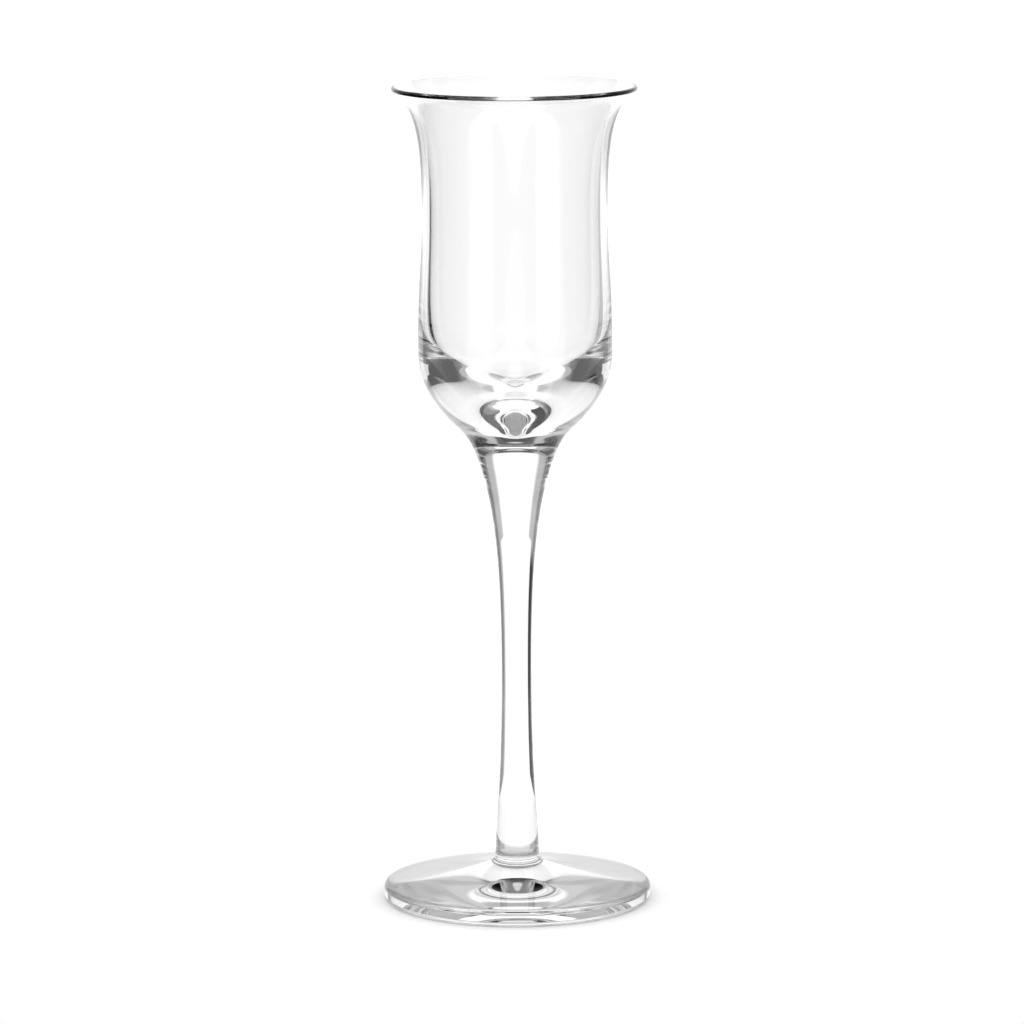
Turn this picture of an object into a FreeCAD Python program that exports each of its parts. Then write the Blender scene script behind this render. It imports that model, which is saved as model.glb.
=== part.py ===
import FreeCAD, Part
import math
import os
import Sketcher

# Liqueur glass, blown and pulled as one piece of clear glass.
# Millimetres, +Z up, the origin in the middle of the ring that the foot stands on.

GLASS = "liqueur_glass"

SIZES = [
    # the foot
    ("foot_radius", 29.5, "outside radius of the foot"),
    ("foot_edge", 3.6, "thickness of the foot's rim, before it is rounded"),
    ("foot_rise", 5.0, "how much higher the foot's top is where the stem stands"),
    ("edge_round_top", 1.3, "rounding of the foot's upper edge"),
    ("edge_round_base", 1.1, "rounding of the foot's lower edge"),
    ("ring_width", 2.2, "width of the ring under the foot that touches the table"),
    ("hollow_depth", 0.3, "rise of the shallow hollow under the foot"),
    ("edge_slope", 8.0, "slope of the foot's top at its rim, in degrees"),
    ("edge_pull", 10.0, "how far that slope is felt inwards"),
    ("root_slope", 22.0, "slope of the foot's top beside the stem, in degrees"),
    ("root_pull", 5.0, "how far that slope is felt outwards"),
    # the stem
    ("stem_foot_radius", 4.95, "radius of the stem where it meets the foot"),
    ("stem_foot_lean", -3.2, "lean of the stem's side there, in degrees, inwards as it rises"),
    ("stem_foot_pull", 14.0, "how far that lean is felt up the stem"),
    ("stem_foot_round", 1.2, "rounding between stem and foot"),
    ("stem_radius", 3.28, "radius of the stem at its thinnest"),
    ("stem_low", 42.2, "from the foot up to the thinnest place"),
    ("stem_high", 48.9, "from the thinnest place up to the knee"),
    ("stem_pull_down", 20.0, "how far the thin part runs on downwards"),
    ("stem_pull_up", 20.7, "how far the thin part runs on upwards"),
    # the knee, where the stem opens into the bowl
    ("knee_radius", 8.85, "radius at the knee"),
    ("knee_slope", 21.9, "lean of the side there, in degrees"),
    ("knee_pull_down", 12.7, "how far that lean is felt down the stem"),
    ("knee_pull_up", 5.0, "how far that lean is felt up the bowl"),
    # the neck, the steep underside of the bowl
    ("neck_height", 6.95, "from the knee up to the neck"),
    ("neck_radius", 14.05, "radius at the neck"),
    ("neck_slope", 42.4, "lean of the side there, in degrees"),
    ("neck_pull_down", 2.1, "how far that lean is felt downwards"),
    ("neck_pull_up", 10.4, "how far that lean is felt upwards"),
    # the belly, the widest place of the bowl's lower half
    ("belly_height", 17.25, "from the neck up to the belly"),
    ("belly_radius", 21.25, "radius at the belly"),
    ("belly_pull_down", 5.6, "how far the belly's upright side runs on downwards"),
    ("belly_pull_up", 12.3, "how far it runs on upwards"),
    ("belly_wall", 3.4, "thickness of the wall at the belly"),
    # the waist, the narrow place under the flare
    ("waist_height", 27.75, "from the belly up to the waist"),
    ("waist_radius", 20.2, "radius at the waist"),
    ("waist_pull_down", 9.1, "how far the waist's upright side runs on downwards"),
    ("waist_pull_up", 13.4, "how far it runs on upwards"),
    ("waist_wall", 2.0, "thickness of the wall at the waist"),
    # the lip
    ("flare_height", 28.35, "from the waist up to the top of the lip"),
    ("rim_radius", 26.75, "outside radius of the lip"),
    ("lip_thickness", 1.1, "thickness of the lip, which is fully round"),
    ("lip_slope", 60.0, "lean of the wall at the lip, in degrees"),
    ("lip_pull", 6.6, "how far that lean is felt downwards"),
    # the inside of the bowl
    ("side_slope", 14.0, "lean of the inner side at the belly, in degrees"),
    ("side_pull_up", 6.0, "how far that lean is felt upwards"),
    ("side_pull_down", 8.0, "how far that lean is felt downwards"),
    ("floor_rise", 7.2, "from the knee up to the floor inside the bowl"),
    ("floor_pull", 2.2, "how far the floor's level middle is felt outwards"),
]

# Heights above the table, each stacked on the one below.
FOOT_TOP = "(sizes.foot_edge + sizes.foot_rise)"
THIN = f"({FOOT_TOP} + sizes.stem_low)"
KNEE = f"({THIN} + sizes.stem_high)"
FLOOR = f"({KNEE} + sizes.floor_rise)"
NECK = f"({KNEE} + sizes.neck_height)"
BELLY = f"({NECK} + sizes.belly_height)"
WAIST = f"({BELLY} + sizes.waist_height)"
TOP = f"({WAIST} + sizes.flare_height)"

# Where the lines of the foot's top and the stem's side would meet.
STEM_FOOT = ("sizes.stem_foot_radius", FOOT_TOP)

# Radii of the cavity, and the middle of the round lip.
BELLY_INSIDE = "(sizes.belly_radius - sizes.belly_wall)"
WAIST_INSIDE = "(sizes.waist_radius - sizes.waist_wall)"
LIP_RADIUS = "(sizes.rim_radius - sizes.lip_thickness / 2)"
LIP_HEIGHT = f"({TOP} - sizes.lip_thickness / 2)"

# Where a curve's inner points stand, as a share of the way to the corner, to make it round.
ROUNDNESS = 0.5523


def along(point, slope, length):
    """A point moved along a slope, which leans outwards from upright as it rises."""
    radius, height = point
    angle = f"(sizes.{slope} * 1 deg)"
    return f"({radius} + {length} * sin{angle})", f"({height} + {length} * cos{angle})"


def outwards(point, slope, length):
    """A point moved outwards and down, at an angle from level."""
    radius, height = point
    angle = f"(sizes.{slope} * 1 deg)"
    return f"({radius} + {length} * cos{angle})", f"({height} - {length} * sin{angle})"


def between(start, end, share):
    """The point that lies a share of the way from one point to another."""
    return tuple(f"({a} + ({b} - {a}) * {share})" for a, b in zip(start, end))


def middle(start, end):
    """The point halfway between two points."""
    return tuple(f"(({a} + {b}) / 2)" for a, b in zip(start, end))


def halves(start, leave, arrive, end):
    """A smooth curve cut in two at its middle, each half as the points after its first."""
    top = middle(leave, arrive)
    first = middle(start, leave)
    last = middle(arrive, end)
    before = middle(first, top)
    after = middle(top, last)
    return (first, before, middle(before, after)), (after, last, end)


def on_circle(centre, radius, angle):
    """The point of a circle at an angle in degrees, anticlockwise from level."""
    return (
        f"({centre[0]} + {radius} * cos({angle} * 1 deg))",
        f"({centre[1]} + {radius} * sin({angle} * 1 deg))",
    )


class Outline:
    """A closed outline in a sketch, every point of it bound to the sheet of sizes.

    Points are pairs of expressions, a radius and a height.
    """

    ORIGIN = -1
    AXES = (-2, -1)

    def __init__(self, body, name, start):
        self.sketch = body.newObject("Sketcher::SketchObject", name)
        plane = [item for item in body.Origin.OriginFeatures if item.Role == "XZ_Plane"][0]
        self.sketch.AttachmentSupport = [(plane, "")]
        self.sketch.MapMode = "FlatFace"
        self.first = None
        self.last = None
        self.here = start
        self.start = start
        self.held = 0

    def number(self, expression):
        """What an expression comes to with the sheet as it is."""
        result = self.sketch.evalExpression(expression)
        return float(getattr(result, "Value", result))

    def vector(self, point):
        return FreeCAD.Vector(self.number(point[0]), self.number(point[1]), 0)

    def hold(self, expression, kind, *where):
        """Bind a distance or a radius to an expression."""
        constraint = Sketcher.Constraint(kind, *where, self.number(expression))
        index = self.sketch.addConstraint(constraint)
        self.held += 1
        self.sketch.renameConstraint(index, f"held_{self.held}")
        self.sketch.setExpression(f"Constraints.held_{self.held}", expression)

    def place(self, geometry, spot, point):
        """Bind a spot on a line or curve to a point."""
        for kind, axis, expression in zip(("DistanceX", "DistanceY"), self.AXES, point):
            if expression == "0":
                on_axis = Sketcher.Constraint("PointOnObject", geometry, spot, axis)
                self.sketch.addConstraint(on_axis)
            else:
                self.hold(expression, kind, self.ORIGIN, 1, geometry, spot)

    def join(self, geometry, spot):
        """Begin a line or curve where the one before it ends."""
        if self.last is None:
            self.first = (geometry, spot)
            self.place(geometry, spot, self.start)
        else:
            self.sketch.addConstraint(Sketcher.Constraint("Coincident", *self.last, geometry, spot))

    def line_to(self, end):
        line = Part.LineSegment(self.vector(self.here), self.vector(end))
        index = self.sketch.addGeometry(line, False)
        self.join(index, 1)
        self.place(index, 2, end)
        self.last = (index, 2)
        self.here = end

    def curve_to(self, leave, arrive, end):
        """A smooth curve: it sets out towards leave, and comes in from arrive."""
        points = (self.here, leave, arrive, end)
        poles = [self.vector(point) for point in points]
        curve = Part.BSplineCurve(poles, [4, 4], [0, 1], False, 3, [1, 1, 1, 1], False)
        index = self.sketch.addGeometry(curve, False)
        self.sketch.exposeInternalGeometry(index)
        self.join(index, 1)
        for order, point in enumerate(points[1:], start=2):
            self.place(index + order, 3, point)
        self.last = (index, 2)
        self.here = end

    def long_curve_to(self, leave, arrive, end):
        """The same smooth curve in two halves, which come out as plainer faces."""
        for half in halves(self.here, leave, arrive, end):
            self.curve_to(*half)

    def arc_to(self, centre, radius, end):
        """A round arc, anticlockwise about its centre."""
        circle = Part.Circle(self.vector(centre), FreeCAD.Vector(0, 0, 1), self.number(radius))
        start_angle = circle.parameter(self.vector(self.here))
        end_angle = circle.parameter(self.vector(end))
        if end_angle < start_angle:
            end_angle += 2 * math.pi
        arc = Part.ArcOfCircle(circle, start_angle, end_angle)
        index = self.sketch.addGeometry(arc, False)
        self.join(index, 1)
        self.place(index, 2, end)
        self.hold(radius, "Radius", index)
        self.last = (index, 2)
        self.here = end

    def arcs_to(self, centre, radius, start, end, count):
        """Arcs end to end about one centre, between two angles in degrees."""
        for number in range(1, count + 1):
            angle = f"({start} + ({end} - {start}) * {number} / {count})"
            self.arc_to(centre, radius, on_circle(centre, radius, angle))

    def round_to(self, corner, end):
        """Round a corner off, from where the outline is to end."""
        leave = between(self.here, corner, ROUNDNESS)
        arrive = between(end, corner, ROUNDNESS)
        self.curve_to(leave, arrive, end)

    def close(self):
        """A last line back to the start."""
        line = Part.LineSegment(self.vector(self.here), self.vector(self.start))
        index = self.sketch.addGeometry(line, False)
        self.join(index, 1)
        self.sketch.addConstraint(Sketcher.Constraint("Coincident", index, 2, *self.first))
        return self.sketch


def make_sheet(doc):
    """The driving sizes, each with its alias and its meaning."""
    sheet = doc.addObject("Spreadsheet::Sheet", "sizes")
    for row, (name, value, meaning) in enumerate(SIZES, start=1):
        sheet.set(f"A{row}", name)
        sheet.set(f"B{row}", str(value))
        sheet.setAlias(f"B{row}", name)
        sheet.set(f"C{row}", meaning)
    doc.recompute()


def draw_section(body):
    """Half of the section through the glass, from the table up the outside to the lip,
    then down the inside to the floor of the bowl."""
    thin = ("sizes.stem_radius", THIN)
    knee = ("sizes.knee_radius", KNEE)
    neck = ("sizes.neck_radius", NECK)
    belly = ("sizes.belly_radius", BELLY)
    waist = ("sizes.waist_radius", WAIST)
    lip = (LIP_RADIUS, LIP_HEIGHT)
    waist_inside = (WAIST_INSIDE, WAIST)
    belly_inside = (BELLY_INSIDE, BELLY)
    floor = ("0", FLOOR)

    outline = Outline(body, "glass_section", ("0", "0"))
    draw_foot(outline)
    draw_stem(outline, thin, knee)
    outline.curve_to(
        along(knee, "knee_slope", "sizes.knee_pull_up"),
        along(neck, "neck_slope", "-sizes.neck_pull_down"),
        neck,
    )
    outline.long_curve_to(
        along(neck, "neck_slope", "sizes.neck_pull_up"),
        (belly[0], f"{belly[1]} - sizes.belly_pull_down"),
        belly,
    )
    outline.long_curve_to(
        (belly[0], f"{belly[1]} + sizes.belly_pull_up"),
        (waist[0], f"{waist[1]} - sizes.waist_pull_down"),
        waist,
    )
    draw_lip(outline, lip, waist, waist_inside)
    outline.long_curve_to(
        (waist_inside[0], f"{waist_inside[1]} - sizes.waist_pull_down"),
        along(belly_inside, "side_slope", "sizes.side_pull_up"),
        belly_inside,
    )
    outline.long_curve_to(
        along(belly_inside, "side_slope", "-sizes.side_pull_down"),
        ("sizes.floor_pull", floor[1]),
        floor,
    )
    return outline.close()


def draw_foot(outline):
    """The foot, from the middle of its underside out to the rim and up to the stem."""
    rim = "sizes.foot_radius"
    low = "sizes.edge_round_base"
    high = "sizes.edge_round_top"
    low_centre = (f"({rim} - {low})", low)
    slope = "(sizes.edge_slope * 1 deg)"
    high_centre = (f"({rim} - {high})", f"(sizes.foot_edge + {high} * (tan{slope} - 1 / cos{slope}))")
    top_angle = "(90 - sizes.edge_slope)"
    shoulder = on_circle(high_centre, high, top_angle)
    root = outwards(STEM_FOOT, "root_slope", "sizes.stem_foot_round")

    outline.line_to((low_centre[0], "0"))
    outline.arcs_to(low_centre, low, "-90", "0", 2)
    outline.line_to((rim, high_centre[1]))
    outline.arcs_to(high_centre, high, "0", top_angle, 2)
    outline.long_curve_to(
        outwards(shoulder, "edge_slope", "-sizes.edge_pull"),
        outwards(root, "root_slope", "sizes.root_pull"),
        root,
    )


def draw_stem(outline, thin, knee):
    """The solid stem, from the foot through its thinnest place up to the knee."""
    outline.round_to(STEM_FOOT, along(STEM_FOOT, "stem_foot_lean", "sizes.stem_foot_round"))
    outline.long_curve_to(
        along(STEM_FOOT, "stem_foot_lean", "sizes.stem_foot_pull"),
        (thin[0], f"{thin[1]} - sizes.stem_pull_down"),
        thin,
    )
    outline.long_curve_to(
        (thin[0], f"{thin[1]} + sizes.stem_pull_up"),
        along(knee, "knee_slope", "-sizes.knee_pull_down"),
        knee,
    )


def draw_lip(outline, lip, waist, waist_inside):
    """The flare above the waist, over the fully round lip and back down inside."""
    half = "(sizes.lip_thickness / 2)"
    outside = outwards(lip, "lip_slope", half)
    inside = outwards(lip, "lip_slope", f"-{half}")
    outline.long_curve_to(
        (waist[0], f"{waist[1]} + sizes.waist_pull_up"),
        along(outside, "lip_slope", "-sizes.lip_pull"),
        outside,
    )
    outline.arcs_to(lip, half, "-sizes.lip_slope", "(180 - sizes.lip_slope)", 4)
    outline.long_curve_to(
        along(inside, "lip_slope", "-sizes.lip_pull"),
        (waist_inside[0], f"{waist_inside[1]} + sizes.waist_pull_up"),
        waist_inside,
    )


def draw_hollow(body):
    """Half of the section through the shallow hollow under the foot, part of a ball."""
    edge = "(sizes.foot_radius - sizes.edge_round_base - sizes.ring_width)"
    depth = "sizes.hollow_depth"
    ball = f"(({edge}^2 + {depth}^2) / (2 * {depth}))"
    outline = Outline(body, "hollow_section", ("0", "0"))
    outline.line_to((edge, "0"))
    outline.arc_to(("0", f"({depth} - {ball})"), ball, ("0", depth))
    return outline.close()


def turn(body, kind, name, sketch):
    """Turn a sketch once round the upright axis, to add glass or to take it away."""
    feature = body.newObject(kind, name)
    feature.Profile = sketch
    feature.ReferenceAxis = (sketch, ["V_Axis"])
    feature.Angle = 360
    sketch.Visibility = False
    return feature


def make_glass(doc):
    """The glass, turned from its section, with the hollow taken out under the foot."""
    body = doc.addObject("PartDesign::Body", GLASS)
    body.Label = GLASS
    glass = turn(body, "PartDesign::Revolution", "glass_turned", draw_section(body))
    doc.recompute()
    whole = glass.Shape.Volume
    hollow = turn(body, "PartDesign::Groove", "foot_hollow", draw_hollow(body))
    doc.recompute()
    if hollow.Shape.Volume >= whole:
        raise RuntimeError("the hollow under the foot takes nothing away")
    return body


def check(doc, part):
    """Stop before anything is written if a feature failed."""
    for item in doc.Objects:
        if "Invalid" in item.State or "Error" in item.State:
            raise RuntimeError(f"{item.Name} is {item.State}")
    shape = part.Shape
    if shape.isNull() or not shape.isValid() or len(shape.Solids) != 1:
        raise RuntimeError(f"{part.Label} isn't one valid solid")


def main():
    doc = FreeCAD.newDocument("liqueur_glass_model")
    make_sheet(doc)
    glass = make_glass(doc)
    doc.recompute()
    check(doc, glass)
    os.makedirs("parts", exist_ok=True)
    glass.Shape.exportStep(f"parts/{GLASS}.step")
    box = glass.Shape.optimalBoundingBox()
    print(f"{GLASS}: {box.XLength:.2f} x {box.YLength:.2f} x {box.ZLength:.2f} mm,"
          f" {glass.Shape.Volume / 1000:.2f} cm3")


main()
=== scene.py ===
"""A clear liqueur glass, blown and pulled in one piece, in a small white studio."""

import math

import bmesh
import bpy
from bpy.props import FloatProperty, FloatVectorProperty, IntProperty, PointerProperty
from mathutils import Matrix, Vector


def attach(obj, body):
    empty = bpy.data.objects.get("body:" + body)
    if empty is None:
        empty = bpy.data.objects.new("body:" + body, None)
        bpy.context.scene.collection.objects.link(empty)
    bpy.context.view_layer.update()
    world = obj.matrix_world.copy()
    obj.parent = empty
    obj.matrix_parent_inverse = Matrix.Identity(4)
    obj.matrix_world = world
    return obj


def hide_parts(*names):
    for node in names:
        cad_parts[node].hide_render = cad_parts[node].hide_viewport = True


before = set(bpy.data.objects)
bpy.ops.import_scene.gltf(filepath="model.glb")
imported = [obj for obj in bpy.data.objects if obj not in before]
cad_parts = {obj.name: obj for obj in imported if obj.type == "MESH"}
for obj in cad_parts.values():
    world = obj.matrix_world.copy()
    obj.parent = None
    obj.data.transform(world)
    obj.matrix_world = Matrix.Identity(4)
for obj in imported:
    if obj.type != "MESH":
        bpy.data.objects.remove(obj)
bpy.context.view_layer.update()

bl_info = {
    "name": "Liqueur Glass",
    "version": (1, 0, 0),
    "blender": (4, 5, 0),
    "location": "View3D > Sidebar > Glass",
    "description": "Blows a clear stemmed liqueur glass and sets a white studio round it",
    "category": "Add Mesh",
}

MM = 0.001
DEGREES = 180 / math.pi
NODE = "liqueur_glass"

# Points of the spun mesh nearer to each other than this, in metres, are one point.
MERGE = 1e-7
# The roughest that the fire-polished surface gets.
MOST_ROUGH = 0.006

# How far inside a curve's inner points stand, as a share of the way to the corner.
ROUNDNESS = 0.5523


def length(name, millimetres, meaning):
    """A size in millimetres, as a property that Blender shows in its own units."""
    return FloatProperty(name=name, description=meaning, default=millimetres * MM,
                         min=0.0, unit="LENGTH", precision=5)


def lean(name, degrees, meaning):
    """An angle given in degrees."""
    return FloatProperty(name=name, description=meaning, default=math.radians(degrees),
                         unit="ROTATION")


class GlassSizes(bpy.types.PropertyGroup):
    """Sizes of the glass, from the foot up."""

    foot_radius: length("Foot radius", 29.5, "Outside radius of the foot")
    foot_edge: length("Foot edge", 3.6, "Thickness of the foot's rim before rounding")
    foot_rise: length("Foot rise", 5.0, "How much higher the foot is at the stem")
    edge_round_top: length("Upper edge", 1.3, "Rounding of the foot's upper edge")
    edge_round_base: length("Lower edge", 1.1, "Rounding of the foot's lower edge")
    ring_width: length("Ring", 2.2, "Flat ring under the foot")
    hollow_depth: length("Hollow", 0.3, "Rise of the hollow under the foot")
    edge_slope: lean("Edge slope", 8.0, "Slope of the foot's top at its rim")
    root_slope: lean("Root slope", 22.0, "Slope of the foot's top beside the stem")
    stem_foot_radius: length("Stem at foot", 4.95, "Radius of the stem at the foot")
    stem_foot_lean: lean("Stem lean", -3.2, "Lean of the stem's side at the foot, outwards as it rises")
    stem_foot_round: length("Stem rounding", 1.2, "Rounding between stem and foot")
    stem_radius: length("Stem radius", 3.28, "Radius of the stem at its thinnest")
    stem_low: length("Lower stem", 42.2, "From the foot to the thinnest place")
    stem_high: length("Upper stem", 48.9, "From the thinnest place to the knee")
    knee_radius: length("Knee radius", 8.85, "Radius where the stem opens out")
    knee_slope: lean("Knee lean", 21.9, "Lean of the side at the knee")
    neck_height: length("Neck height", 6.95, "From the knee to the neck")
    neck_radius: length("Neck radius", 14.05, "Radius at the bowl's steep underside")
    neck_slope: lean("Neck lean", 42.4, "Lean of the side at the neck")
    belly_height: length("Belly height", 17.25, "From the neck to the belly")
    belly_radius: length("Belly radius", 21.25, "Radius of the bowl at its fullest")
    belly_wall: length("Belly wall", 3.4, "Thickness of the wall at the belly")
    side_slope: lean("Inner lean", 14.0, "Lean of the inner side at the belly")
    waist_height: length("Waist height", 27.75, "From the belly to the waist")
    waist_radius: length("Waist radius", 20.2, "Radius of the bowl under the flare")
    waist_wall: length("Waist wall", 2.0, "Thickness of the wall at the waist")
    flare_height: length("Flare height", 28.35, "From the waist to the top of the lip")
    rim_radius: length("Rim radius", 26.75, "Outside radius of the lip")
    lip_thickness: length("Lip", 1.1, "Thickness of the fully round lip")
    lip_slope: lean("Lip lean", 60.0, "Lean of the wall at the lip")
    floor_rise: length("Bowl floor", 7.2, "From the knee to the floor inside the bowl")
    segments: IntProperty(name="Segments", description="Steps round the glass",
                          default=192, min=24, max=256)


# How far each place's direction is felt along the outline, in millimetres.
PULL = {
    "stem_foot": 14.0, "stem_down": 20.0, "stem_up": 20.7, "knee_down": 12.7, "knee_up": 5.0,
    "neck_down": 2.1, "neck_up": 10.4, "belly_down": 5.6, "belly_up": 12.3,
    "waist_down": 9.1, "waist_up": 13.4, "lip": 6.6, "floor": 2.2, "side": 8.0, "side_up": 6.0,
    "edge": 10.0, "root": 5.0,
}


class Outline:
    """A chain of points in the glass's half section, each a radius and a height."""

    def __init__(self, start):
        self.points = [Vector(start)]

    def line_to(self, end, steps=1):
        start, end = self.points[-1], Vector(end)
        for step in range(1, steps + 1):
            self.points.append(start.lerp(end, step / steps))

    def curve_to(self, leave, arrive, end, steps):
        """A smooth curve: it sets out towards leave, and comes in from arrive."""
        start, leave, arrive, end = self.points[-1], Vector(leave), Vector(arrive), Vector(end)
        for step in range(1, steps + 1):
            t = step / steps
            u = 1 - t
            point = start * u**3 + leave * 3 * u * u * t + arrive * 3 * u * t * t + end * t**3
            self.points.append(point)

    def arc_to(self, centre, radius, start, end, steps):
        """A round arc about its centre, between two angles from level."""
        for step in range(1, steps + 1):
            angle = start + (end - start) * step / steps
            spoke = Vector((math.cos(angle), math.sin(angle))) * radius
            self.points.append(Vector(centre) + spoke)

    def round_to(self, corner, end, steps):
        """Round a corner off, from where the outline is to end."""
        corner, end = Vector(corner), Vector(end)
        leave = self.points[-1].lerp(corner, ROUNDNESS)
        arrive = end.lerp(corner, ROUNDNESS)
        self.curve_to(leave, arrive, end, steps)


def along(point, slope, distance):
    """A point moved up a slope that leans outwards from upright."""
    return Vector(point) + Vector((math.sin(slope), math.cos(slope))) * distance


def across(point, slope, distance):
    """A point moved square to a slope, outwards and down."""
    return Vector(point) + Vector((math.cos(slope), -math.sin(slope))) * distance


def beside(point, name, direction=1):
    """A point moved straight up or down by a named pull."""
    return Vector(point) + Vector((0, PULL[name] * MM * direction))


def stem_foot(s):
    """Where the lines of the foot's top and the stem's side would meet."""
    return Vector((s.stem_foot_radius, s.foot_edge + s.foot_rise))


def draw_foot(outline, s):
    """Under the foot, round its rim and up its slope to the stem."""
    ring = s.foot_radius - s.edge_round_base - s.ring_width
    ball = (ring**2 + s.hollow_depth**2) / (2 * s.hollow_depth)
    outline.arc_to((0, s.hollow_depth - ball), ball, math.pi / 2, math.acos(ring / ball),
                   steps=18)
    low, high = s.edge_round_base, s.edge_round_top
    outline.line_to((s.foot_radius - low, 0), steps=2)
    outline.arc_to((s.foot_radius - low, low), low, -math.pi / 2, 0, steps=12)
    lift = high * (math.tan(s.edge_slope) - 1 / math.cos(s.edge_slope))
    centre = Vector((s.foot_radius - high, s.foot_edge + lift))
    outline.line_to((s.foot_radius, centre.y), steps=2)
    outline.arc_to(centre, high, 0, math.pi / 2 - s.edge_slope, steps=12)

    shoulder = outline.points[-1]
    root = across(stem_foot(s), s.root_slope, s.stem_foot_round)
    outline.curve_to(across(shoulder, s.edge_slope, -PULL["edge"] * MM),
                     across(root, s.root_slope, PULL["root"] * MM), root, steps=40)


def draw_stem(outline, s, thin, knee):
    """From the foot through the stem's thinnest place up to the knee."""
    corner = stem_foot(s)
    outline.round_to(corner, along(corner, s.stem_foot_lean, s.stem_foot_round), steps=12)
    outline.curve_to(along(corner, s.stem_foot_lean, PULL["stem_foot"] * MM),
                     beside(thin, "stem_down", -1), thin, steps=44)
    outline.curve_to(beside(thin, "stem_up"),
                     along(knee, s.knee_slope, -PULL["knee_down"] * MM), knee, steps=44)


def draw_lip(outline, s, waist, waist_inside, top):
    """The flare, the fully round lip and back down inside to the waist."""
    half = s.lip_thickness / 2
    middle = Vector((s.rim_radius - half, top - half))
    outside = across(middle, s.lip_slope, half)
    inside = across(middle, s.lip_slope, -half)
    pull = -PULL["lip"] * MM
    outline.curve_to(beside(waist, "waist_up"), along(outside, s.lip_slope, pull), outside,
                     steps=34)
    outline.arc_to(middle, half, -s.lip_slope, math.pi - s.lip_slope, steps=20)
    outline.curve_to(along(inside, s.lip_slope, pull), beside(waist_inside, "waist_up"),
                     waist_inside, steps=34)


def glass_outline(s):
    """The half section, from the middle of the underside to the floor of the bowl."""
    thin = Vector((s.stem_radius, stem_foot(s).y + s.stem_low))
    knee = Vector((s.knee_radius, thin.y + s.stem_high))
    neck = Vector((s.neck_radius, knee.y + s.neck_height))
    belly = Vector((s.belly_radius, neck.y + s.belly_height))
    waist = Vector((s.waist_radius, belly.y + s.waist_height))
    belly_inside = belly - Vector((s.belly_wall, 0))
    waist_inside = waist - Vector((s.waist_wall, 0))
    floor = Vector((0, knee.y + s.floor_rise))

    outline = Outline((0, s.hollow_depth))
    draw_foot(outline, s)
    draw_stem(outline, s, thin, knee)
    outline.curve_to(along(knee, s.knee_slope, PULL["knee_up"] * MM),
                     along(neck, s.neck_slope, -PULL["neck_down"] * MM), neck, steps=14)
    outline.curve_to(along(neck, s.neck_slope, PULL["neck_up"] * MM),
                     beside(belly, "belly_down", -1), belly, steps=26)
    outline.curve_to(beside(belly, "belly_up"), beside(waist, "waist_down", -1), waist,
                     steps=24)
    draw_lip(outline, s, waist, waist_inside, waist.y + s.flare_height)
    outline.curve_to(beside(waist_inside, "waist_down", -1),
                     along(belly_inside, s.side_slope, PULL["side_up"] * MM), belly_inside,
                     steps=30)
    outline.curve_to(along(belly_inside, s.side_slope, -PULL["side"] * MM),
                     (PULL["floor"] * MM, floor.y), floor, steps=40)
    return outline.points


def spin_glass(name, points, segments):
    """Turn the half section once round the upright axis."""
    shape = bmesh.new()
    verts = [shape.verts.new((radius, 0, height)) for radius, height in points]
    for below, above in zip(verts, verts[1:]):
        shape.edges.new((below, above))
    bmesh.ops.spin(shape, geom=shape.verts[:] + shape.edges[:], cent=(0, 0, 0), axis=(0, 0, 1),
                   angle=math.tau, steps=segments, use_merge=True, use_duplicate=False)
    bmesh.ops.remove_doubles(shape, verts=shape.verts[:], dist=MERGE)
    bmesh.ops.recalc_face_normals(shape, faces=shape.faces[:])
    for face in shape.faces:
        face.smooth = True
    mesh = bpy.data.meshes.new(name)
    shape.to_mesh(mesh)
    shape.free()
    return mesh


class Value:
    """A node socket that takes part in Python arithmetic."""

    def __init__(self, tree, socket):
        self.tree = tree
        self.socket = socket

    def _math(self, operation, *others):
        sockets = [getattr(item, "socket", item) for item in (self, *others)]
        node = self.tree.add("ShaderNodeMath", {"operation": operation}, dict(enumerate(sockets)))
        return Value(self.tree, node.outputs[0])

    def __add__(self, other):
        return self._math("ADD", other)

    def __mul__(self, other):
        return self._math("MULTIPLY", other)

    def __rmul__(self, other):
        return self * other

    def __rsub__(self, other):
        return self * -1 + other

    def arctan2(self, other):
        return self._math("ARCTAN2", other)

    def hypot(self, other):
        return (self * self + other * other)._math("SQRT")

    def largest(self, other):
        return self._math("MAXIMUM", other)

    def size(self):
        return self._math("ABSOLUTE")

    def rise(self, low, high):
        """0 under low, 1 over high, smooth between."""
        node = self.tree.add("ShaderNodeMapRange", {"interpolation_type": "SMOOTHSTEP"},
                             {"Value": self.socket, "From Min": low, "From Max": high})
        return Value(self.tree, node.outputs[0])


class NodeTree:
    """Adds nodes to a material or world and links them."""

    def __init__(self, owner):
        owner.use_nodes = True
        self.nodes = owner.node_tree.nodes
        self.links = owner.node_tree.links
        self.nodes.clear()

    def add(self, kind, settings=None, inputs=None):
        node = self.nodes.new(kind)
        for name, setting in (settings or {}).items():
            setattr(node, name, setting)
        for name, item in (inputs or {}).items():
            item = getattr(item, "socket", item)
            if isinstance(item, bpy.types.NodeSocket):
                self.links.new(item, node.inputs[name])
            else:
                node.inputs[name].default_value = item
        return node

    def value(self, kind, output, settings=None, inputs=None):
        """One output of a new node, ready for arithmetic."""
        return Value(self, self.add(kind, settings, inputs).outputs[output])

    def place(self):
        """The x, y and z of the point being shaded, in the object's own frame."""
        spot = self.add("ShaderNodeTexCoord").outputs["Object"]
        split = self.add("ShaderNodeSeparateXYZ", None, {0: spot})
        return spot, [Value(self, output) for output in split.outputs]


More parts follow.
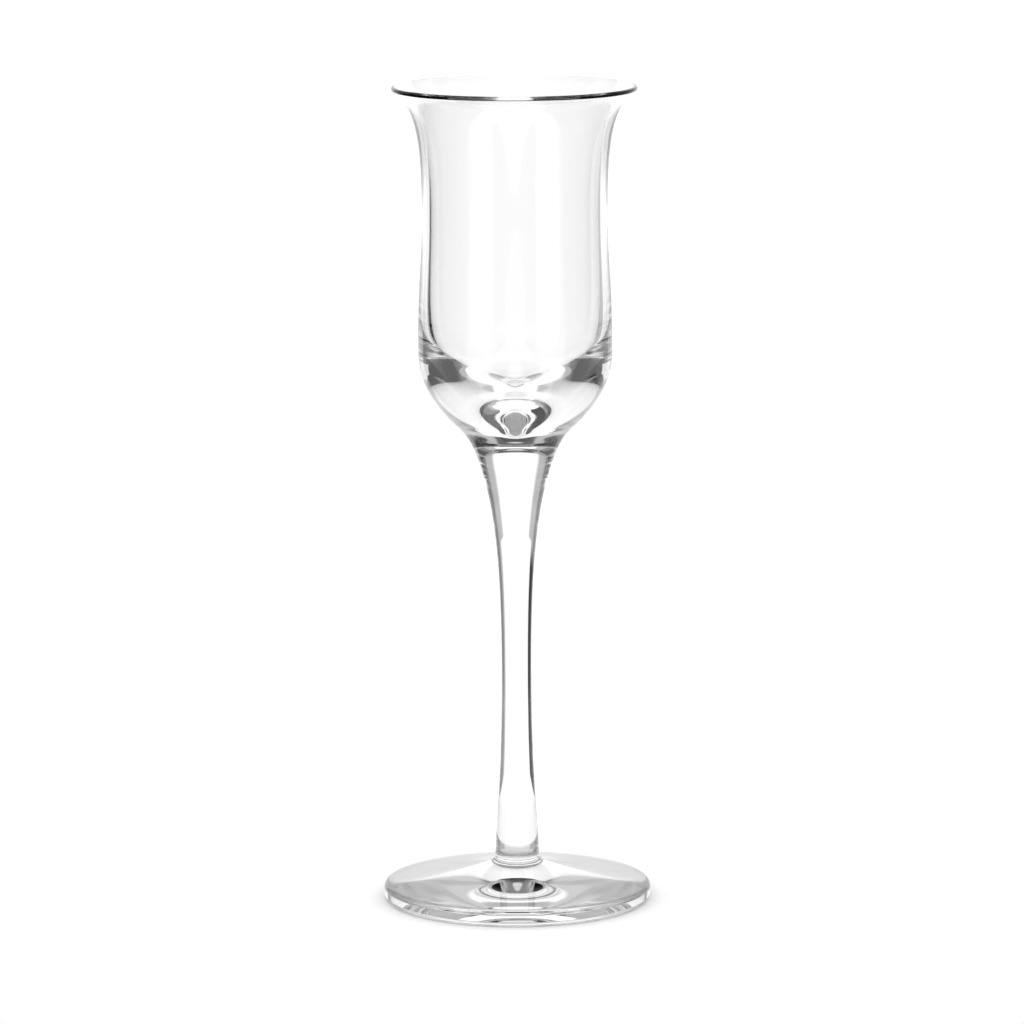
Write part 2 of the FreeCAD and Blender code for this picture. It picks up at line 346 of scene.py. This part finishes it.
def clear_glass():
    """Clear, fire-polished glass: faint waves from blowing, a breath of roughness."""
    material = bpy.data.materials.new("clear_glass")
    tree = NodeTree(material)
    spot, _ = tree.place()
    waves = tree.value("ShaderNodeTexNoise", 0, None,
                       {"Vector": spot, "Scale": 55.0, "Detail": 1.0, "Roughness": 0.4})
    polish = tree.value("ShaderNodeTexNoise", 0, None,
                        {"Vector": spot, "Scale": 240.0, "Detail": 2.0})
    bump = tree.add("ShaderNodeBump", None,
                    {"Height": waves, "Distance": 0.00002, "Strength": 0.3})
    glass = tree.add("ShaderNodeBsdfPrincipled", None, {
        "Base Color": (0.995, 0.998, 0.997, 1.0),
        "Roughness": polish.rise(0.35, 0.8) * MOST_ROUGH,
        "IOR": 1.52,
        "Transmission Weight": 1.0,
        "Normal": bump.outputs[0],
    })
    tree.add("ShaderNodeOutputMaterial", None, {"Surface": glass.outputs[0]})
    return material


class GLASS_OT_blow(bpy.types.Operator):
    """Turn the glass from its half section and give it clear glass"""

    bl_idname = "glass.blow"
    bl_label = "Blow Glass"

    def execute(self, context):
        sizes = context.scene.glass_sizes
        mesh = spin_glass("blown_glass", glass_outline(sizes), sizes.segments)
        mesh.materials.append(clear_glass())
        glass = bpy.data.objects.new("blown_glass", mesh)
        context.collection.objects.link(glass)
        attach(glass, "root")
        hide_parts(NODE)
        return {"FINISHED"}


class StudioSettings(bpy.types.PropertyGroup):
    """The camera and the white studio."""

    azimuth: lean("Azimuth", 225.0, "Which side the camera looks from")
    distance: length("Distance", 1226.4, "From the glass's axis to the camera, along the floor")
    height: length("Height", 290.7, "Height of the camera over the floor")
    tilt: lean("Tilt", 9.4586, "How far down the camera looks")
    turn: lean("Turn", 0.04, "How far left of the glass's axis the camera looks")
    roll: lean("Roll", -0.24, "How far the camera leans")
    lens: FloatProperty(name="Lens", description="Focal length in millimetres on a 36 mm sensor",
                        default=199.31, min=1.0)
    paper_half: length("Paper half width", 60.0, "Half the width of the paper beside the glass")
    paper_near: length("Paper near end", 600.0, "From the glass to the paper's near end")
    paper_turn: length("Paper turn", 77.0, "From the glass to where the paper starts to spread")
    paper_far: length("Paper far end", 3000.0, "From the glass to the paper's far end")
    paper_spread: lean("Paper spread", 38.0, "How far each of its edges turns outwards there")
    paper_gap: length("Paper gap", 0.05, "How far the paper lies under the foot's ring")
    paper: FloatVectorProperty(name="Paper", description="Colour of the floor",
                               subtype="COLOR", size=3, default=(0.9, 0.9, 0.9))
    paper_lift: FloatProperty(name="Paper lift", default=0.2, min=0.0,
                              description="Light added to the floor, as it is seen or shows in glass")
    tent_radius: length("Tent radius", 3200.0, "Radius of the dome of screens round the glass")
    # The tones from here on are of glowing screens that show only in the glass: painted reflections and
    # refractions that put its light and dark bands there.
    white: FloatProperty(name="White", description="Brightness of the white wall that shines "
                         "through the glass, where 1 is just white", default=1.12)
    wing_tone: FloatProperty(name="Wings", default=0.5,
                             description="Tone of the screens beside the white wall")
    wing_far_tone: FloatProperty(name="Wings, far", default=0.25,
                                 description="The same, further out")
    lamp_tone: FloatProperty(name="Lamp", default=0.8,
                             description="Tone of the lamps overhead and behind the camera")
    room_tone: FloatProperty(name="Room", default=0.11,
                             description="Tone of the room to both sides")
    behind_tone: FloatProperty(name="Behind", default=0.22,
                               description="Tone of the room behind the camera")
    ceiling_tone: FloatProperty(name="Ceiling", default=0.07,
                                description="Tone of the ceiling round the lamp overhead")
    beam_tone: FloatProperty(name="Beam", default=0.04,
                             description="Tone of the black beam over the white wall")
    high_side_tone: FloatProperty(name="High sides", default=0.4,
                                  description="Tone of the wall to both sides of the beam")
    # A painted dark patch, seen only in the glass, low on the left.
    low_left_dark_tone: FloatProperty(name="Black cloth", default=0.02,
                               description="Tone of the cloth that hangs low on the left")
    back_tone: FloatProperty(name="Back", default=0.85,
                             description="Tone of the low white wall behind the camera")


def seen_in_glass_only(screen):
    """A screen that only shines through the glass or off it, as a painted reflection."""
    screen.visible_camera = False
    screen.visible_diffuse = False
    screen.visible_shadow = False
    screen.visible_volume_scatter = False


def blend(one, other, share):
    """One tone where the share is 0, the other where it is 1."""
    return one * (1 - share) + other * share


# Where one tone of the painted reflections gives way to the next, as the start and end of the change.
# These are in degrees to either side of straight ahead, and those of the dark patch low on the left to
# the left.
BEAM_SIDE = (18, 24)
WALL_SIDE = (25, 31)
WING_SIDE = (42, 50)
ROOM_SIDE = (60, 70)
REAR_SIDE = (140, 150)
LOW_LEFT_START = (39, 41)
LOW_LEFT_END = (100, 110)
LOW_WALL_START = (118, 122)
LOW_WALL_END = (148, 152)
# These are in degrees above the level of the floor.
LOW_LEFT_TOP = (-3, 0)
LOW_WALL_TOP = (6, 12)
REAR_TOP = (22, 28)
WALL_TOP = (30, 33)
BEAM_TOP = (46, 50)
CEILING_TOP = (75, 78)


def painted_reflection_tone(place, studio):
    """Tone of the glowing screens, painted reflections that show only in the glass: white
    behind the glass, darker beside and above it, with a dark patch low on the left.

    Behind the camera they show a low pale wall and a lamp over it. The dome's own +X points
    from the camera past the glass, and its +Y to the camera's left.
    """
    x, y, z = place
    side = y.arctan2(x) * DEGREES
    turn = side.size()
    climb = z.arctan2(x.hypot(y)) * DEGREES
    tone = blend(studio.wing_tone, studio.wing_far_tone, turn.rise(*WING_SIDE))
    tone = blend(tone, studio.room_tone, turn.rise(*ROOM_SIDE))
    tone = blend(1, tone, turn.rise(*WALL_SIDE))
    above = blend(studio.beam_tone, studio.high_side_tone, turn.rise(*BEAM_SIDE))
    tone = blend(tone, above, climb.rise(*WALL_TOP))
    behind = blend(studio.behind_tone, studio.lamp_tone, climb.rise(*REAR_TOP))
    tone = blend(tone, behind, turn.rise(*REAR_SIDE))
    tone = blend(tone, studio.ceiling_tone, climb.rise(*BEAM_TOP))
    tone = blend(tone, studio.lamp_tone, climb.rise(*CEILING_TOP))
    # A painted dark patch low on the left, below the level of the floor.
    low_left_share = side.rise(*LOW_LEFT_START) * (1 - side.rise(*LOW_LEFT_END))
    low_left_share = low_left_share * (1 - climb.rise(*LOW_LEFT_TOP))
    tone = blend(tone, studio.low_left_dark_tone, low_left_share)
    low_wall = turn.rise(*LOW_WALL_START) * (1 - turn.rise(*LOW_WALL_END))
    low_wall = low_wall * (1 - climb.rise(*LOW_WALL_TOP))
    return blend(tone, studio.back_tone, low_wall)


def glow_of(tree, studio, tone):
    """Light of the studio's white, dimmed to a tone."""
    dark = tree.add("ShaderNodeEmission", None, {"Color": (0, 0, 0, 1), "Strength": 0.0})
    white = tree.add("ShaderNodeEmission", None,
                     {"Color": (1, 1, 1, 1), "Strength": studio.white})
    return tree.add("ShaderNodeMixShader", None,
                    {0: tone, 1: dark.outputs[0], 2: white.outputs[0]}).outputs[0]


def painted_reflection_material(studio):
    """Screens that shine, each in its own tone of the studio's white: painted reflections that show
    only in the glass.
    """
    material = bpy.data.materials.new("painted_reflection_screens")
    tree = NodeTree(material)
    _, place = tree.place()
    glow = glow_of(tree, studio, painted_reflection_tone(place, studio))
    tree.add("ShaderNodeOutputMaterial", None, {"Surface": glow})
    return material


def paper_material(studio):
    """White paper that keeps the glass's shadow, the same seen directly or in the glass."""
    material = bpy.data.materials.new("white_paper")
    tree = NodeTree(material)
    path = tree.add("ShaderNodeLightPath")
    seen = Value(tree, path.outputs["Is Camera Ray"])
    seen = seen.largest(Value(tree, path.outputs["Is Transmission Ray"]))
    seen = seen.largest(Value(tree, path.outputs["Is Glossy Ray"]))
    paper = tree.add("ShaderNodeBsdfDiffuse", None, {"Color": (*studio.paper, 1.0)})
    lift = tree.add("ShaderNodeEmission", None,
                    {"Color": (1, 1, 1, 1), "Strength": studio.paper_lift})
    lifted = tree.add("ShaderNodeAddShader", None, {0: paper.outputs[0], 1: lift.outputs[0]})
    mix = tree.add("ShaderNodeMixShader", None,
                   {0: seen, 1: paper.outputs[0], 2: lifted.outputs[0]})
    tree.add("ShaderNodeOutputMaterial", None, {"Surface": mix.outputs[0]})
    return material


def paper_sheet(studio):
    """The paper, narrow beside the glass and spreading out behind it."""
    spread = (studio.paper_far - studio.paper_turn) * math.tan(studio.paper_spread)
    half = studio.paper_half
    corners = [(-studio.paper_near, half), (studio.paper_turn, half),
               (studio.paper_far, half + spread)]
    corners += [(x, -y) for x, y in reversed(corners)]
    sheet = bmesh.new()
    verts = [sheet.verts.new((x, y, -studio.paper_gap)) for x, y in corners]
    bmesh.ops.contextual_create(sheet, geom=verts)
    bmesh.ops.recalc_face_normals(sheet, faces=sheet.faces[:])
    return sheet


def stage_piece(context, name, shape, material, turn):
    """A piece of the studio, turned about the axis of the glass."""
    mesh = bpy.data.meshes.new(name)
    shape.to_mesh(mesh)
    shape.free()
    mesh.materials.append(material)
    piece = bpy.data.objects.new(name, mesh)
    piece.rotation_euler = (0, 0, turn)
    context.collection.objects.link(piece)
    return piece


def white_world(context):
    """Even white light from all sides."""
    world = bpy.data.worlds.new("white_studio")
    context.scene.world = world
    tree = NodeTree(world)
    glow = tree.add("ShaderNodeBackground", None, {"Color": (1, 1, 1, 1), "Strength": 1.0})
    tree.add("ShaderNodeOutputWorld", None, {"Surface": glow.outputs[0]})


def stand_camera(context, studio):
    """Stand the camera at the photograph's viewing angle."""
    back = Vector((math.sin(studio.azimuth), -math.cos(studio.azimuth), 0))
    data = bpy.data.cameras.new("studio_camera")
    data.sensor_width = 36.0
    data.lens = studio.lens
    data.clip_start = 0.05
    data.clip_end = 50.0
    camera = bpy.data.objects.new("studio_camera", data)
    context.collection.objects.link(camera)
    camera.location = back * studio.distance + Vector((0, 0, studio.height))
    heading = studio.azimuth + studio.turn
    level = Matrix.Rotation(heading, 4, "Z") @ Matrix.Rotation(math.pi / 2 - studio.tilt, 4, "X")
    camera.rotation_euler = (level @ Matrix.Rotation(studio.roll, 4, "Z")).to_euler()
    context.scene.camera = camera


class GLASS_OT_studio(bpy.types.Operator):
    """Lay the paper, hang the screens, light them and stand the camera"""

    bl_idname = "glass.studio"
    bl_label = "Set Studio"

    def execute(self, context):
        studio = context.scene.glass_studio
        away = studio.azimuth + math.pi / 2

        stage_piece(context, "paper_floor", paper_sheet(studio), paper_material(studio), away)

        # A dome of glowing screens round the glass that shows only in it: painted reflections and
        # refractions, white behind and dark to the sides and above.
        tent = bmesh.new()
        bmesh.ops.create_uvsphere(tent, u_segments=96, v_segments=48, radius=studio.tent_radius)
        screens = stage_piece(context, "painted_reflection_screens", tent, painted_reflection_material(studio), away)
        seen_in_glass_only(screens)

        white_world(context)
        stand_camera(context, studio)
        scene = context.scene
        scene.view_settings.view_transform = "Standard"
        scene.cycles.max_bounces = 32
        scene.cycles.transmission_bounces = 32
        scene.cycles.glossy_bounces = 16
        return {"FINISHED"}


class GLASS_PT_panel(bpy.types.Panel):
    """Lists the glass and its studio"""

    bl_label = "Liqueur Glass"
    bl_idname = "GLASS_PT_panel"
    bl_space_type = "VIEW_3D"
    bl_region_type = "UI"
    bl_category = "Glass"

    def draw(self, context):
        layout = self.layout
        layout.operator(GLASS_OT_blow.bl_idname)
        layout.operator(GLASS_OT_studio.bl_idname)
        for group in (context.scene.glass_sizes, context.scene.glass_studio):
            column = layout.column(align=True)
            for name in group.__annotations__:
                column.prop(group, name)


CLASSES = (GlassSizes, StudioSettings, GLASS_OT_blow, GLASS_OT_studio, GLASS_PT_panel)


def register():
    for item in CLASSES:
        bpy.utils.register_class(item)
    bpy.types.Scene.glass_sizes = PointerProperty(type=GlassSizes)
    bpy.types.Scene.glass_studio = PointerProperty(type=StudioSettings)


def unregister():
    del bpy.types.Scene.glass_sizes
    del bpy.types.Scene.glass_studio
    for item in reversed(CLASSES):
        bpy.utils.unregister_class(item)


def main():
    register()
    bpy.ops.glass.blow()
    bpy.ops.glass.studio()


if __name__ == "__main__":
    main()
